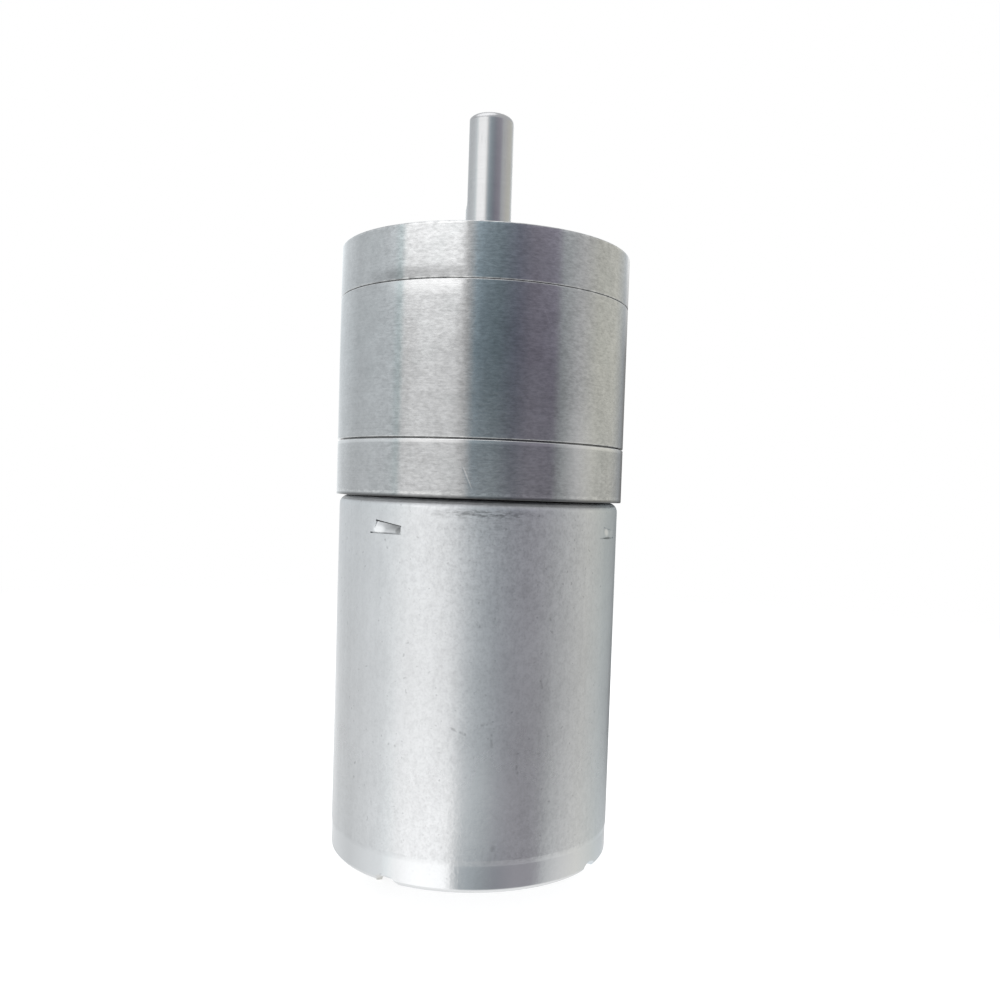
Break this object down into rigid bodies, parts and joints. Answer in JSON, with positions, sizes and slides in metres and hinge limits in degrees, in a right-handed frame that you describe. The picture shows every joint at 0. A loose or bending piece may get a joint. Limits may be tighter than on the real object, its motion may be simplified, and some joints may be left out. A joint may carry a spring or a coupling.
{
  "type": "gearmotor",
  "caption": "Small cylindrical DC gearmotor: a brushed motor in a steel can behind a spur gearbox, with a D-cut output shaft on the centre line.",
  "frame": {"origin": "centre of the gearbox's front mounting face, on the output shaft's axis", "axes": "+Z along the output shaft, away from the gearbox; X through the two mounting holes"},
  "size_m": [0.025, 0.025, 0.067],
  "materials": {
    "gearbox_zinc": "turned satin zinc alloy with fine rings and light speckle",
    "plated_can": "matt zinc-plated drawn steel",
    "end_plate_steel": "plated pressed steel",
    "shaft_steel": "ground steel",
    "screw_steel": "zinc-plated screw steel",
    "gear_steel": "sintered steel with a trace of oil",
    "bearing_bronze": "oil-filled sintered bronze",
    "brass": "machined brass",
    "terminal_tin": "tinned brass",
    "winding_copper": "enamelled copper wire",
    "bare_copper": "bare copper alloy",
    "core_steel": "stacked steel laminations",
    "magnet_ferrite": "sintered ferrite",
    "carbon": "pressed carbon",
    "black_nylon": "moulded glass-filled nylon",
    "insulator_fibre": "pressed insulating fibre",
    "phenolic": "moulded phenolic resin",
    "varistor_ceramic": "fired ceramic"
  },
  "bodies": {
    "housing": {"front_cover": "gearbox_zinc", "output_bushing": "bearing_bronze", "thrust_washer": "screw_steel", "gearbox_ring": "gearbox_zinc", "rear_plate": "gearbox_zinc", "cover_screws": "screw_steel", "motor_screws": "screw_steel", "layshaft_pins": "shaft_steel", "gear_shims": "bearing_bronze", "spacer_sleeve": "brass", "motor_can": "plated_can", "front_bearing": "bearing_bronze", "magnets": "magnet_ferrite", "magnet_springs": "screw_steel", "brush_holder": "black_nylon", "end_plate": "end_plate_steel", "rear_bearing": "bearing_bronze", "brush_arms": "bare_copper", "brushes": "carbon", "terminals": "terminal_tin"},
    "output": {"output_shaft": "shaft_steel", "output_gear": "gear_steel"},
    "third_gear": {"third_gear": "gear_steel"},
    "second_gear": {"second_gear": "gear_steel"},
    "first_gear": {"first_gear": "gear_steel"},
    "rotor": {"motor_pinion": "brass", "motor_shaft": "shaft_steel", "rotor_core": "core_steel", "core_insulators": "insulator_fibre", "coils": "winding_copper", "commutator_hub": "phenolic", "commutator_segments": "bare_copper", "varistor_ring": "varistor_ceramic", "shaft_washers": "brass"}
  },
  "joints": [
    {"name": "output_spin", "type": "hinge", "parent": "housing", "child": "output", "pos_m": [0, 0, 0], "axis": [0, 0, 1], "continuous": true},
    {"name": "third_gear_spin", "type": "hinge", "parent": "housing", "child": "third_gear", "pos_m": [-0.00537, 0.0031, -0.0093], "axis": [0, 0, 1], "continuous": true},
    {"name": "second_gear_spin", "type": "hinge", "parent": "housing", "child": "second_gear", "pos_m": [-0.00537, -0.0031, -0.0127], "axis": [0, 0, 1], "continuous": true},
    {"name": "first_gear_spin", "type": "hinge", "parent": "housing", "child": "first_gear", "pos_m": [-0.00537, 0.0031, -0.0155], "axis": [0, 0, 1], "continuous": true},
    {"name": "rotor_spin", "type": "hinge", "parent": "housing", "child": "rotor", "pos_m": [0, 0, -0.035], "axis": [0, 0, 1], "continuous": true}
  ],
  "couplings": [
    {"joint": "third_gear_spin", "follows": "output_spin", "ratio": -2.4444},
    {"joint": "second_gear_spin", "follows": "output_spin", "ratio": 5.9753},
    {"joint": "first_gear_spin", "follows": "output_spin", "ratio": -14.606},
    {"joint": "rotor_spin", "follows": "output_spin", "ratio": 35.704}
  ]
}
